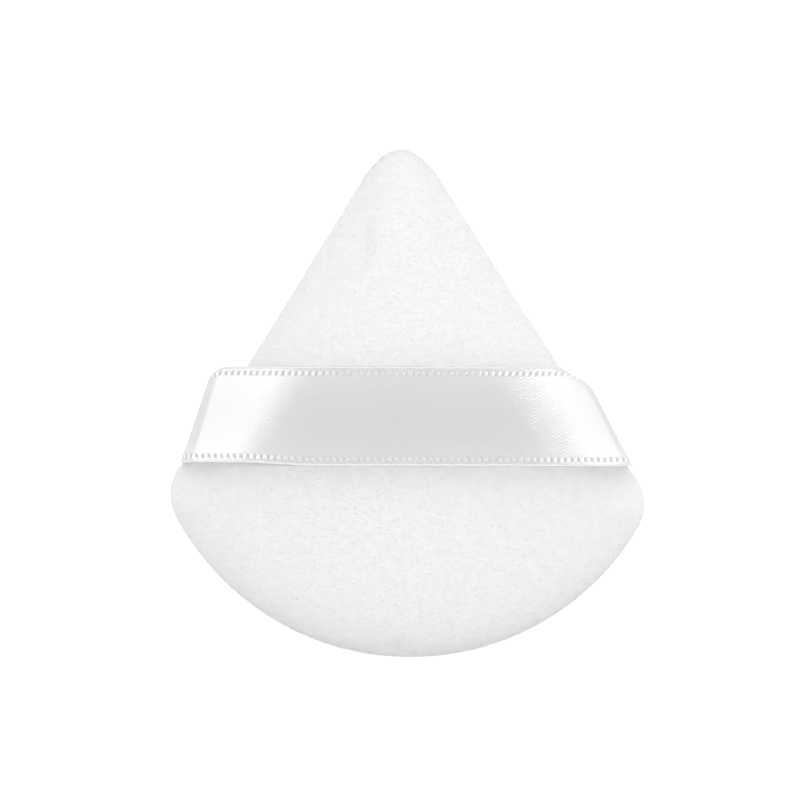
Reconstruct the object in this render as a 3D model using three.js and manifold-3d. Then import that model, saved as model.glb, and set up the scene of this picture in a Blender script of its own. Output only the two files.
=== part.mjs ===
// A triangular velour powder puff with a satin ribbon strap for the fingers.
// Two velour panels are sewn face to face, turned right side out and filled with a foam core, and the
// ribbon's ends are caught in the two side seams. Millimetres, +Z up: the powder face lies on Z = 0,
// the tip points along +Y, and the origin is under the middle of the pad's length and width.
import * as THREE from "three";
import { mergeGeometries, mergeVertices } from "three/addons/utils/BufferGeometryUtils.js";
import Module from "manifold-3d";

const wasm = await Module();
wasm.setup();

// Outline of the pad
const PAD_LENGTH = 81; // from the base to the tip
const PAD_WIDTH = 75; // from side corner to side corner
const TIP_DEPTH = 4.75; // how far the rounded tip lies below the point where the flanks would meet
const CORNER_RADIUS = 7.2; // of the two side corners
const CORNER_HEIGHT = 25.1; // centres of the side corners above the base
const FLANK_HOLLOW = 1.1; // how far the sewn-in strap draws each flank inwards

// Section of the pad
const SEAM_HEIGHT = 6.8; // seam plane above the powder face
const BACK_RISE = 8.2; // crown of the ribbon side above the seam plane
const REST_REACH = 16; // from the crown's centre to the edge of the flat patch that the puff rests on
const CROWN_REACH = 5; // the same on the ribbon side, where the crown is only just level
const CROWN_POWER = 3; // a higher power gives a flatter crown and a rounder rim
const VELOUR = 1.5; // thickness of a panel, pile included
const ALLOWANCE_THICKNESS = 1; // the same velour, pressed flat where it is turned in at the seam
const SEAM_GAP = 0.3; // between the two allowances
const CORE_EDGE = 1.5; // how far the foam stops short of the velour at its rim
const FIT = 0.3; // clearance between neighbouring pieces

// Ribbon strap
const STRAP_Y = -2.2; // middle of the ribbon along the pad's length
const RIBBON_WIDTH = 16;
const RIBBON_THICKNESS = 0.4;
const FINGER_GAP = 4.6; // between the pad's crown and the ribbon, for the fingertips
const LOWER_BULGE = 0.9; // how far the ribbon's lower edge stands out from the flank
const UPPER_BULGE = 5.2; // the same at its upper edge, where the pad is narrower and the ribbon slack
const BULGE_RISE = 2.5; // height of the ribbon's widest place above the seam plane
const ARCH_POWER = 4; // a higher power gives a flatter top and tighter bends at the sides

// Sewing
const STITCH_LENGTH = 4.5;
const STITCH_DEPTH = 1.1; // stitch line behind the inner face of the velour
const SEAM_ALLOWANCE = 2.6; // from the stitch line to the raw edges, which lie inside the pad
const TURNING_GAP = 26; // length of seam left open in the base, closed by hand after filling
const THREAD_RADIUS = 0.15;
const NEEDLE_DIP = 0.45; // half the length of seam over which a thread dips into a stitch hole

// Faceting
const RIM_FACET = 7; // facets along the outline
const LEAST_RIM_STEPS = 6; // fewest facets on one curve of the outline
const CROWN_STEPS = 6; // rings over a crown
const BULGE_STEPS = 5; // stations round a bulge of the ribbon
const ARCH_STEPS = 14; // stations over half of the ribbon's arch
const THREAD_SIDES = 4;

const RIGHT_ANGLE = Math.PI / 2;

// Outline

const baseY = -PAD_LENGTH / 2;
const apex = new THREE.Vector2(0, PAD_LENGTH / 2 + TIP_DEPTH);
const corner = new THREE.Vector2(PAD_WIDTH / 2 - CORNER_RADIUS, baseY + CORNER_HEIGHT);

// The base is the arc that touches both side corners and passes through the middle of the base.
const baseRadius =
  (corner.x ** 2 + CORNER_HEIGHT ** 2 - CORNER_RADIUS ** 2) / (2 * (CORNER_HEIGHT - CORNER_RADIUS));
const baseCentreY = baseY + baseRadius;
const baseAngle = Math.atan2(corner.y - baseCentreY, corner.x);

// The direction, seen from the right corner's centre, in which a line from a point touches the corner.
function touchAngle(point) {
  const from = point.clone().sub(corner);
  return Math.atan2(from.y, from.x) - Math.acos(CORNER_RADIUS / from.length());
}

// Each flank runs from the tip to its corner, bent inwards at the knee beside the strap.
const straightFlank = touchAngle(apex);
const knee = new THREE.Vector2(Math.tan(straightFlank) * (apex.y - STRAP_Y) - FLANK_HOLLOW, STRAP_Y);
const flankAngle = Math.atan2(knee.x, apex.y - knee.y);
const tipSide = new THREE.Vector2(2 * TIP_DEPTH * Math.tan(flankAngle), apex.y - 2 * TIP_DEPTH);
const cornerAngle = touchAngle(knee);
const flankFoot = new THREE.Vector2(Math.cos(cornerAngle), Math.sin(cornerAngle))
  .multiplyScalar(CORNER_RADIUS)
  .add(corner);

function arc(x, y, radius, from, to) {
  return new THREE.EllipseCurve(x, y, radius, radius, from, to);
}

function bend(from, over, to) {
  return new THREE.QuadraticBezierCurve(from, over, to);
}

function mirrored(point) {
  return new THREE.Vector2(-point.x, point.y);
}

// Anticlockwise from the middle of the base, seen from the ribbon side.
const outline = new THREE.CurvePath();
outline.add(arc(0, baseCentreY, baseRadius, -RIGHT_ANGLE, baseAngle));
outline.add(arc(corner.x, corner.y, CORNER_RADIUS, baseAngle, cornerAngle));
outline.add(bend(flankFoot, knee, tipSide));
outline.add(bend(tipSide, apex, mirrored(tipSide)));
outline.add(bend(mirrored(tipSide), mirrored(knee), mirrored(flankFoot)));
outline.add(arc(-corner.x, corner.y, CORNER_RADIUS, Math.PI - cornerAngle, Math.PI - baseAngle));
outline.add(arc(0, baseCentreY, baseRadius, Math.PI - baseAngle, 3 * RIGHT_ANGLE));

function facetsOf(curve) {
  const steps = Math.max(LEAST_RIM_STEPS, Math.round(curve.getLength() / RIM_FACET));
  return curve.getPoints(steps).slice(0, -1);
}

const rim = outline.curves.flatMap(facetsOf);

// The centre of the circle that touches the base and both flanks: an outline drawn in towards it keeps
// the same distance from all three.
const crownY = (apex.y * Math.sin(flankAngle) + baseY) / (1 + Math.sin(flankAngle));
const inradius = crownY - baseY;

function drawnIn(point, inset) {
  const share = 1 - inset / inradius;
  return new THREE.Vector2(point.x * share, crownY + (point.y - crownY) * share);
}

// Half the width, at a place along the pad's length, of the outline drawn in by an inset.
function halfWidthAt(y, inset) {
  let [below, above] = [0, 0.5];
  for (let halvings = 0; halvings < 40; halvings++) {
    const middle = (below + above) / 2;
    if (drawnIn(outline.getPoint(middle), inset).y < y) below = middle;
    else above = middle;
  }
  return drawnIn(outline.getPoint(below), inset).x;
}

// Solids

// A closed skin over a row of rings with the same number of points, with a flat cap on each end.
function skin(rings) {
  const count = rings[0].length;
  const points = rings.flat();
  const index = [];
  for (let r = 0; r + 1 < rings.length; r++) {
    for (let i = 0; i < count; i++) {
      const a = r * count + i;
      const b = r * count + ((i + 1) % count);
      index.push(a, b, b + count, a, b + count, a + count);
    }
  }
  for (const first of [0, (rings.length - 1) * count]) {
    const centre = points.length;
    points.push(middleOf(points.slice(first, first + count)));
    for (let i = 0; i < count; i++) {
      const ends = [first + i, first + ((i + 1) % count)];
      if (first === 0) ends.reverse();
      index.push(centre, ...ends);
    }
  }
  if (enclosed(points, index) < 0) index.reverse();
  return new THREE.BufferGeometry().setFromPoints(points).setIndex(index);
}

function middleOf(points) {
  return points.reduce((sum, point) => sum.add(point), new THREE.Vector3()).divideScalar(points.length);
}

// Six times the volume that the triangles enclose, negative where they face inwards.
function enclosed(points, index) {
  let sum = 0;
  for (let i = 0; i < index.length; i += 3) {
    const [a, b, c] = [points[index[i]], points[index[i + 1]], points[index[i + 2]]];
    sum += a.dot(new THREE.Vector3().crossVectors(b, c));
  }
  return sum;
}

// A round bar through the points. Its facets are set out from the sideways direction at each point.
function bar(points, sideways, radius, sides) {
  const rings = points.map((point, i) => {
    const before = points[Math.max(0, i - 1)];
    const after = points[Math.min(points.length - 1, i + 1)];
    const along = after.clone().sub(before).normalize();
    const across = sideways[i].clone().addScaledVector(along, -along.dot(sideways[i])).normalize();
    const upright = new THREE.Vector3().crossVectors(along, across);
    return Array.from({ length: sides }, (_, k) => {
      const turn = (2 * Math.PI * (k + 0.5)) / sides;
      return point
        .clone()
        .addScaledVector(across, radius * Math.cos(turn))
        .addScaledVector(upright, radius * Math.sin(turn));
    });
  });
  return skin(rings);
}

function manifold(geometry) {
  const bare = new THREE.BufferGeometry();
  bare.setAttribute("position", geometry.getAttribute("position"));
  bare.setIndex(geometry.index);
  const merged = mergeVertices(bare);
  const vertProperties = merged.getAttribute("position").array;
  const triVerts = new Uint32Array(merged.index.array);
  return new wasm.Manifold(new wasm.Mesh({ numProp: 3, vertProperties, triVerts }));
}

function cut(geometry, ...cutters) {
  const left = cutters.reduce((solid, cutter) => solid.subtract(manifold(cutter)), manifold(geometry));
  const { vertProperties, triVerts } = left.getMesh();
  const made = new THREE.BufferGeometry();
  made.setAttribute("position", new THREE.BufferAttribute(vertProperties, 3));
  return made.setIndex(new THREE.BufferAttribute(triVerts, 1));
}

// Crowned surfaces, with heights measured from the seam plane

const stitchInset = VELOUR + STITCH_DEPTH;
const rawEdgeInset = stitchInset + SEAM_ALLOWANCE;
const allowanceFace = SEAM_GAP / 2;
const allowanceBack = allowanceFace + ALLOWANCE_THICKNESS;
const threadHeight = allowanceBack + FIT + THREAD_RADIUS;
const threadRoom = threadHeight + THREAD_RADIUS + FIT;

function ringAt(inset, height) {
  return rim.map((point) => {
    const { x, y } = drawnIn(point, inset);
    return new THREE.Vector3(x, y, height);
  });
}

// Rings of a crown that springs from its foot and levels off within a reach of the pad's centre. They
// lie closest at the foot, where the crown is steepest.
function crownRings(footInset, footHeight, reach, topHeight) {
  const span = inradius - footInset;
  const fullness = (radius) => Math.sqrt(1 - (radius / span) ** CROWN_POWER);
  return Array.from({ length: CROWN_STEPS + 1 }, (_, k) => {
    const radius = span - (span - reach) * (1 - Math.cos((RIGHT_ANGLE * k) / CROWN_STEPS));
    const height = footHeight + ((topHeight - footHeight) * fullness(radius)) / fullness(reach);
    return ringAt(inradius - radius, height);
  });
}

// One velour panel: crown, rim and the seam allowance turned in behind it. Side is 1 on the ribbon side
// and -1 on the powder side.
function panel(side, rise, reach) {
  const outer = crownRings(0, side * allowanceFace, reach, side * rise);
  const inner = crownRings(VELOUR, side * allowanceBack, reach, side * (rise - VELOUR));
  const rawEdge = [allowanceFace, allowanceBack].map((height) => ringAt(rawEdgeInset, side * height));
  return skin([...outer.reverse(), ...rawEdge, ...inner]);
}

// The foam fills both panels and has a groove round its rim for the allowances and the stitches.
function core() {
  const foot = VELOUR + CORE_EDGE;
  const skinDepth = VELOUR + FIT;
  const back = crownRings(foot, threadRoom, CROWN_REACH, BACK_RISE - skinDepth);
  const front = crownRings(foot, -threadRoom, REST_REACH, skinDepth - SEAM_HEIGHT);
  const groove = [threadRoom, -threadRoom].map((height) => ringAt(rawEdgeInset + FIT, height));
  return skin([...back.reverse(), ...groove, ...front]);
}

// Ribbon

const lowerEdge = { y: STRAP_Y - RIBBON_WIDTH / 2, bulge: LOWER_BULGE };
const upperEdge = { y: STRAP_Y + RIBBON_WIDTH / 2, bulge: UPPER_BULGE };
const archHeight = BACK_RISE + FINGER_GAP + RIBBON_THICKNESS / 2;

// One edge of the ribbon from the right-hand seam to the left-hand one: a tail inside the seam, a bulge
// outwards and upwards, and a flat-topped arch over the pad.
function edgeLine({ y, bulge }) {
  const seamX = halfWidthAt(y, 0);
  const widest = seamX + bulge;
  const half = [new THREE.Vector2(halfWidthAt(y, rawEdgeInset), 0), new THREE.Vector2(seamX, 0)];
  for (let k = 1; k <= BULGE_STEPS; k++) {
    const turn = (RIGHT_ANGLE * k) / BULGE_STEPS;
    half.push(new THREE.Vector2(seamX + bulge * Math.sin(turn), BULGE_RISE * (1 - Math.cos(turn))));
  }
  for (let k = 1; k <= ARCH_STEPS; k++) {
    const turn = (RIGHT_ANGLE * k) / ARCH_STEPS;
    const x = k < ARCH_STEPS ? widest * Math.cos(turn) ** (2 / ARCH_POWER) : 0;
    half.push(new THREE.Vector2(x, BULGE_RISE + (archHeight - BULGE_RISE) * Math.sin(turn)));
  }
  return [...half, ...half.slice(0, -1).reverse().map(mirrored)];
}

function ribbon() {
  const edges = [lowerEdge, upperEdge].map((edge) => ({ y: edge.y, line: edgeLine(edge) }));
  const rings = edges[0].line.map((_, i) => {
    const [lower, upper] = edges.map(({ y, line }) => {
      const before = line[Math.max(i - 1, 0)];
      const after = line[Math.min(i + 1, line.length - 1)];
      const along = after.clone().sub(before).normalize();
      return [-0.5, 0.5].map((share) => {
        const step = share * RIBBON_THICKNESS;
        return new THREE.Vector3(line[i].x - step * along.y, y, line[i].y + step * along.x);
      });
    });
    return [lower[0], lower[1], upper[1], upper[0]];
  });
  return skin(rings);
}

// The room that a ribbon end takes up between the two allowances, with its clearance.
function tailRoom(side) {
  const ends = [
    [lowerEdge, -FIT],
    [upperEdge, FIT],
  ];
  const [low, high] = ends.map(([edge, spare]) => {
    const inside = side * (halfWidthAt(edge.y, rawEdgeInset) - FIT);
    const outside = side * (halfWidthAt(edge.y, 0) + UPPER_BULGE);
    return [new THREE.Vector2(inside, edge.y + spare), new THREE.Vector2(outside, edge.y + spare)];
  });
  const depth = RIBBON_THICKNESS + 2 * FIT;
  const room = new THREE.ExtrudeGeometry(new THREE.Shape([low[0], low[1], high[1], high[0]]), {
    depth,
    bevelEnabled: false,
  });
  return room.translate(0, 0, -depth / 2);
}

// Sewing

const seamLength = (outline.getLength() * (inradius - stitchInset)) / inradius;

// A place on the stitch line, at a distance along the seam from the middle of the base.
function onSeam(distance) {
  const share = THREE.MathUtils.euclideanModulo(distance / seamLength, 1);
  const along = outline.getTangent(share);
  return { at: drawnIn(outline.getPoint(share), stitchInset), along };
}

// Stitches spread evenly between two places on the seam, about a stitch length apart.
function stitchPlaces(from, to) {
  const stitches = Math.round((to - from) / STITCH_LENGTH);
  return Array.from({ length: stitches + 1 }, (_, k) => from + ((to - from) * k) / stitches);
}

const lockPlaces = stitchPlaces(TURNING_GAP / 2, seamLength - TURNING_GAP / 2);
const closingPlaces = stitchPlaces(STITCH_LENGTH - TURNING_GAP / 2, TURNING_GAP / 2 - STITCH_LENGTH);

// A thread through points given as distance along the seam and height above the seam plane.
function thread(course) {
  const places = course.map(({ distance, height }) => ({ ...onSeam(distance), height }));
  const points = places.map(({ at, height }) => new THREE.Vector3(at.x, at.y, height));
  const sideways = places.map(({ along }) => new THREE.Vector3(-along.y, along.x, 0));
  return bar(points, sideways, THREAD_RADIUS, THREAD_SIDES);
}

// One thread of the lockstitch: it lies along one allowance and dips into each hole, where it meets the
// thread of the other side.
function lockThread(side) {
  const meeting = FIT + THREAD_RADIUS;
  const course = lockPlaces.flatMap((distance) => [
    { distance: distance - NEEDLE_DIP, height: side * threadHeight },
    { distance, height: side * meeting },
    { distance: distance + NEEDLE_DIP, height: side * threadHeight },
  ]);
  return thread(course);
}

// The hand-sewn ladder stitch that closes the turning gap: through both allowances at every hole.
function closingThread() {
  const course = closingPlaces.flatMap((distance, k) => {
    const entering = k % 2 === 0 ? threadHeight : -threadHeight;
    return [
      { distance, height: entering },
      { distance, height: -entering },
    ];
  });
  return thread(course);
}

function stitchHoles() {
  const length = 2 * (NEEDLE_DIP + THREAD_RADIUS);
  const width = 2 * (THREAD_RADIUS + FIT);
  const depth = 2 * (allowanceBack + FIT);
  const holes = [...lockPlaces, ...closingPlaces].map((distance) => {
    const { at, along } = onSeam(distance);
    return new THREE.BoxGeometry(length, width, depth)
      .rotateZ(Math.atan2(along.y, along.x))
      .translate(at.x, at.y, 0);
  });
  return mergeGeometries(holes);
}

// Assembly

function fabric(color, roughness) {
  return new THREE.MeshStandardMaterial({ color, roughness, metalness: 0 });
}

const velour = fabric(0xf6f5f5, 0.95);
const satin = fabric(0xdadada, 0.35);
const foam = fabric(0xf1eee4, 0.9);
const polyester = fabric(0xf7f7f5, 0.6);

function piece(name, geometry, material) {
  const mesh = new THREE.Mesh(geometry, material);
  mesh.name = name;
  return mesh;
}

const holes = stitchHoles();
const tails = [tailRoom(1), tailRoom(-1)];

const pad = new THREE.Group();
pad.add(piece("front_panel", cut(panel(-1, SEAM_HEIGHT, REST_REACH), holes, ...tails), velour));
pad.add(piece("back_panel", cut(panel(1, BACK_RISE, CROWN_REACH), holes, ...tails), velour));
pad.add(piece("foam_core", core(), foam));
pad.add(piece("needle_thread", lockThread(1), polyester));
pad.add(piece("bobbin_thread", lockThread(-1), polyester));
pad.add(piece("closing_thread", closingThread(), polyester));

const strap = new THREE.Group();
strap.add(piece("ribbon_strap", cut(ribbon(), holes), satin));

const puff = new THREE.Group();
puff.position.z = SEAM_HEIGHT;
puff.add(pad, strap);

const root = new THREE.Group();
root.add(puff);

export default root;
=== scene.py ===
"""Looks of a triangular velour powder puff with a satin ribbon strap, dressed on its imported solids."""

import math

import bpy
import numpy as np
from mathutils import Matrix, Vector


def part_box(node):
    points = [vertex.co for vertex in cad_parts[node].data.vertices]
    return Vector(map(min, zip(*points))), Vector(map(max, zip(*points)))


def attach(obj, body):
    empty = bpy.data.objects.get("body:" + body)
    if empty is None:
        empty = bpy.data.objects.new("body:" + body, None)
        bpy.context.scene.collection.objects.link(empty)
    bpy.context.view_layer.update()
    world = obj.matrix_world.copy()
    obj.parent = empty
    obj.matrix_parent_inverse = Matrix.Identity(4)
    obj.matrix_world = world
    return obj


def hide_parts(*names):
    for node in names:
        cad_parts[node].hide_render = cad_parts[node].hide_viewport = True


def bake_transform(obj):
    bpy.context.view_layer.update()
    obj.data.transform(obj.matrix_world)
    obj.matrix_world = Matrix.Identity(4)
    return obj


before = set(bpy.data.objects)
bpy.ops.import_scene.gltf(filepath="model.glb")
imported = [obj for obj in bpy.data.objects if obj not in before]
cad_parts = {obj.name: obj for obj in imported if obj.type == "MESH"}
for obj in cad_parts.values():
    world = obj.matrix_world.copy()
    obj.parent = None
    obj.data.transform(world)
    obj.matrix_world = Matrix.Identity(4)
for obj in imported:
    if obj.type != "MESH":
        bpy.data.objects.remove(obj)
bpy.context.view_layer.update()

# Velour panels
# Two pieces of short-pile velour, cut to the same rounded triangle and sewn face to face along the rim.
# Turned right side out, each has a crown, a rim folded over the seam and an allowance lying inside.

MM = 0.001
back_low, back_high = (np.array(corner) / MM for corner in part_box("back_panel"))
front_low, front_high = (np.array(corner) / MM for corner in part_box("front_panel"))
ribbon_low, ribbon_high = (np.array(corner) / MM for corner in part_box("ribbon_strap"))

SEAM_Z = (back_low[2] + front_high[2]) / 2
BASE_Y, TIP_Y = back_low[1], back_high[1]
STRAP_Y = (ribbon_low[1] + ribbon_high[1]) / 2
TIP_DEPTH = 5.1
CORNER_RADIUS = 7.2
CORNER_HEIGHT = 25.1
PILE_OUT = 0.3
FLANK_HOLLOW = 1.1
BOW = 0.0193  # the corners lie a little further right than the tip and the base
BOW_AT = -16
BOW_ROUND = 5
BOW_SHIFT = 0.15
SLOPE = 0.021  # and the left corner a little higher than the right one

PILE = 0.2
VELOUR = 0.8
FOLD = 0.95
SEAM_GAP = 0.15
SEAM_ALLOWANCE = 5.2
CROWN_POWER = 3
BACK_LEVEL = 5
FRONT_LEVEL = 16

corner = np.array([back_high[0] + PILE_OUT - CORNER_RADIUS, BASE_Y + CORNER_HEIGHT])
apex = np.array([0, TIP_Y + TIP_DEPTH])
base_radius = (corner[0] ** 2 + CORNER_HEIGHT**2 - CORNER_RADIUS**2) / (2 * (CORNER_HEIGHT - CORNER_RADIUS))
base_centre = np.array([0, BASE_Y + base_radius])
base_turn = math.atan2(corner[1] - base_centre[1], corner[0])


def touch(point):
    """The direction from the corner's centre in which a line from a point touches the corner."""
    away = point - corner
    return math.atan2(away[1], away[0]) - math.acos(CORNER_RADIUS / np.linalg.norm(away))


knee = np.array([math.tan(touch(apex)) * (apex[1] - STRAP_Y) - FLANK_HOLLOW, STRAP_Y])
corner_turn = touch(knee)
flank_foot = corner + CORNER_RADIUS * np.array([math.cos(corner_turn), math.sin(corner_turn)])
tip_side = apex + (knee - apex) * 2 * TIP_DEPTH / (apex[1] - knee[1])
flank_slant = knee[0] / np.linalg.norm(apex - knee)
crown_y = (apex[1] * flank_slant + BASE_Y) / (1 + flank_slant)
reach = crown_y - BASE_Y

CURVE_POINTS = 200


def on_arc(centre, radius, start, end, share):
    """Points on an arc, at shares of the way from its start to its end."""
    turn = start + (end - start) * share
    return centre + radius * np.stack([np.cos(turn), np.sin(turn)], axis=1)


def on_bend(start, over, end, share):
    """Points on a bend from a start to an end, drawn towards a third point."""
    share = share[:, None]
    return (1 - share) ** 2 * start + 2 * share * (1 - share) * over + share**2 * end


def run_of(points):
    """The distance of each point of a line from the line's start."""
    return np.concatenate([[0], np.cumsum(np.linalg.norm(np.diff(points, axis=0), axis=1))])


def along_line(places, run, points):
    """Points at places along a line, whose own points lie at the distances in run."""
    return np.stack([np.interp(places, run, column) for column in points.T], axis=1)


def evenly(points, count):
    """The same line with evenly spaced points."""
    run = run_of(points)
    return along_line(np.linspace(0, run[-1], count), run, points)


def pad_outline(count):
    """Points round the pad, in millimetres, anticlockwise from the middle of the base."""
    share = np.linspace(0, 1, CURVE_POINTS)
    right = np.concatenate(
        [
            on_arc(base_centre, base_radius, -math.pi / 2, base_turn, share),
            on_arc(corner, CORNER_RADIUS, base_turn, corner_turn, share)[1:],
            on_bend(flank_foot, knee, tip_side, share)[1:],
            on_bend(tip_side, apex, tip_side * [-1, 1], share / 2)[1:],
        ]
    )
    left = right[::-1] * [-1, 1]
    return evenly(np.concatenate([right, left[1:]]), count + 1)[:-1]


def ring(rim, inset, height):
    """The outline drawn in by an inset, at a height above the seam."""
    share = 1 - inset / reach
    drawn = np.stack([rim[:, 0] * share, crown_y + (rim[:, 1] - crown_y) * share], axis=1)
    return np.column_stack([drawn, np.full(len(rim), SEAM_Z + height)])


def askew(points):
    """The small skew of a pad sewn by hand, which everything in its seam shares."""
    x, y, z = np.asarray(points, float).T
    bow = np.hypot(y - BOW_AT, BOW_ROUND) - BOW_ROUND
    return np.column_stack([x + BOW_SHIFT - BOW * bow, y - SLOPE * x, z])


NET = 56
RIM_POINTS = 4 * NET
FINE_POINTS = 2400

across, upward = np.meshgrid(np.linspace(-1, 1, NET + 1), np.linspace(-1, 1, NET + 1))
round_x = across * np.sqrt(1 - upward**2 / 2)
round_y = upward * np.sqrt(1 - across**2 / 2)
net_radius = np.sin(np.hypot(round_x, round_y).clip(0, 1) * math.pi / 2).ravel()
net_share = np.mod(np.arctan2(round_y, round_x) / (2 * math.pi) + 0.25, 1).ravel()
fine_outline = pad_outline(FINE_POINTS)
fine_outline = np.concatenate([fine_outline, fine_outline[:1]])
net_rim = along_line(net_share, np.linspace(0, 1, FINE_POINTS + 1), fine_outline)
net_number = np.arange((NET + 1) ** 2).reshape(NET + 1, NET + 1)
net_edge = np.concatenate(
    [net_number[0, :-1], net_number[:-1, -1], net_number[-1, :0:-1], net_number[:0:-1, 0]]
)
net_faces = np.stack(
    [net_number[:-1, :-1], net_number[:-1, 1:], net_number[1:, 1:], net_number[1:, :-1]], axis=-1
).reshape(-1, 4)


def crown(side, inset, foot, top, level):
    """A square net drawn round to the pad's outline and domed from its foot up to its level middle."""
    span = reach - inset
    fullness = np.sqrt(1 - net_radius**CROWN_POWER) / math.sqrt(1 - (level / span) ** CROWN_POWER)
    share = net_radius * span / reach
    x, y = net_rim[:, 0] * share, crown_y + (net_rim[:, 1] - crown_y) * share
    return np.column_stack([x, y, SEAM_Z + side * (foot + (top - foot) * np.minimum(1, fullness))])


def walls(loops):
    """Faces between closed loops of points that follow each other outwards, each given by its numbers."""
    faces = []
    for near, far in zip(loops, loops[1:]):
        faces.append(np.stack([far, np.roll(far, -1), np.roll(near, -1), near], axis=1))
    return np.concatenate(faces)


def turned_out(side, faces):
    """Faces turned to look out on the ribbon side or on the powder side."""
    return faces if side > 0 else faces[:, ::-1]


def new_piece(name, points, faces):
    """A smooth mesh object at the origin, from points in millimetres."""
    mesh = bpy.data.meshes.new(name)
    mesh.from_pydata((np.asarray(points) * MM).tolist(), [], np.asarray(faces).tolist())
    mesh.shade_smooth()
    piece = bpy.data.objects.new(name, mesh)
    bpy.context.scene.collection.objects.link(piece)
    return piece


def places_of(mesh):
    """The places of a mesh's points, in millimetres."""
    places = np.empty(len(mesh.vertices) * 3, np.float32)
    mesh.vertices.foreach_get("co", places)
    return places.reshape(-1, 3) / MM


def finished(piece):
    """Replaces the piece's mesh by what its modifiers make of it, and removes them."""
    made = bpy.data.meshes.new_from_object(piece.evaluated_get(bpy.context.evaluated_depsgraph_get()))
    piece.modifiers.clear()
    piece.data = made
    return piece


def thicken(piece, thickness):
    """Gives a sheet its thickness, behind the face that shows."""
    wall = piece.modifiers.new("thickness", "SOLIDIFY")
    wall.thickness = thickness * MM
    wall.offset = -1
    return finished(piece)


FILLING_FRAMES = 20
FILLING_SCALE = 10  # the cloth solver is made for cloth of furniture size
FILLING_PRESSURE = 1
FILLING_LIMIT = 0.5


def filled_out(back, front):
    """Both crowns after the filling has pressed them out as cloth that is held by the seam."""
    rest = np.concatenate([back, front])
    held = np.concatenate([net_edge, net_edge + len(back)])
    faces = [net_faces, walls([net_edge, net_edge + len(back)]), turned_out(-1, net_faces) + len(back)]
    pad = new_piece("filled_pad", rest * FILLING_SCALE, np.concatenate(faces))
    seam = pad.vertex_groups.new(name="seam")
    seam.add(held.tolist(), 1, "REPLACE")
    cloth = pad.modifiers.new("filling", "CLOTH")
    cloth.settings.vertex_group_mass = seam.name
    cloth.settings.use_pressure = True
    cloth.settings.uniform_pressure_force = FILLING_PRESSURE
    cloth.settings.effector_weights.gravity = 0
    cloth.collision_settings.use_collision = False
    cloth.point_cache.frame_end = FILLING_FRAMES
    for step in range(1, FILLING_FRAMES + 1):
        bpy.context.scene.frame_set(step)
    pressed = places_of(pad.evaluated_get(bpy.context.evaluated_depsgraph_get()).data) / FILLING_SCALE
    bpy.data.objects.remove(pad)
    bpy.context.scene.frame_set(1)
    far = np.linalg.norm(pressed - rest, axis=1, keepdims=True)
    filled = rest + (pressed - rest) * FILLING_LIMIT / np.maximum(far, FILLING_LIMIT)
    return filled[: len(back)], filled[len(back) :]


def set_inputs(tree, node, inputs):
    """Sets each input of a node to a value, or links it from another node's output."""
    for name, value in inputs.items():
        if isinstance(value, bpy.types.NodeSocket):
            tree.links.new(value, node.inputs[name])
        else:
            node.inputs[name].default_value = value


def add(tree, kind, inputs=None, **settings):
    """A new node of a tree, with its settings and its inputs."""
    node = tree.nodes.new(kind)
    for name, value in settings.items():
        setattr(node, name, value)
    set_inputs(tree, node, inputs or {})
    return node


def reckon(tree, operation, first, second=0.0):
    """The result of a sum with one or two numbers."""
    return add(tree, "ShaderNodeMath", {0: first, 1: second}, operation=operation).outputs[0]


def ranged(tree, value, span, result=(0.0, 1.0), **settings):
    """A number that goes from one end of a result to the other while a value crosses a span."""
    inputs = {0: value, 1: span[0], 2: span[1], 3: result[0], 4: result[1]}
    return add(tree, "ShaderNodeMapRange", inputs, **settings).outputs[0]


def noise(tree, place, scale, detail, roughness=0.5):
    """An uneven number between 0 and 1, by place."""
    inputs = {"Vector": place, "Scale": scale, "Detail": detail, "Roughness": roughness}
    return add(tree, "ShaderNodeTexNoise", inputs).outputs["Fac"]


def bumped(tree, height, strength, distance):
    """The direction of a surface that rises and falls by a distance in millimetres."""
    inputs = {"Height": height, "Strength": strength, "Distance": distance * MM}
    return add(tree, "ShaderNodeBump", inputs).outputs["Normal"]


def new_material(name):
    """A new material with its tree and its surface shader."""
    material = bpy.data.materials.new(name)
    material.use_nodes = True
    return material, material.node_tree, material.node_tree.nodes["Principled BSDF"]


def tone(tree, factor, dark, light):
    """A colour between two tones, by a factor."""
    mixed = add(tree, "ShaderNodeMix", {0: factor}, data_type="RGBA")
    mixed.inputs[6].default_value = (*dark, 1)
    mixed.inputs[7].default_value = (*light, 1)
    return mixed.outputs[2]


NAP_SCALE = 1500
BRUSHED_SCALE = 700
MOTTLE = (0.12, 0.4)
VELOUR_TONES = (0.88, 0.88, 0.88), (0.92, 0.92, 0.92)
VELOUR_ROUGH = (0.85, 1.0)
NAP_DEPTH = 0.1

velour, tree, shader = new_material("velour")
place = add(tree, "ShaderNodeTexCoord").outputs["Object"]
nap = noise(tree, place, NAP_SCALE, detail=3, roughness=0.6)
brushed = noise(tree, place, BRUSHED_SCALE, detail=2)
mottle = ranged(tree, reckon(tree, "MULTIPLY", nap, brushed), MOTTLE)
velour_look = {
    "Base Color": tone(tree, mottle, *VELOUR_TONES),
    "Roughness": ranged(tree, nap, (0, 1), VELOUR_ROUGH),
    "Normal": bumped(tree, nap, 0.5, NAP_DEPTH),
    "Specular IOR Level": 0.2,
    "Sheen Weight": 0.4,
    "Sheen Roughness": 0.5,
}
set_inputs(tree, shader, velour_look)

FOLD_ROWS = 6
ALLOWANCE_ROWS = 4
PILE_LOOPS = 4  # the pile stops where the rim turns in to the seam
PUCKER = 0.07
PUCKERS = 54
PUCKER_REACH = 1.5
RIBBON_ROOM = 0.2
ROOM_EASE = 0.6
ROOM_REACH = 3

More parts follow.
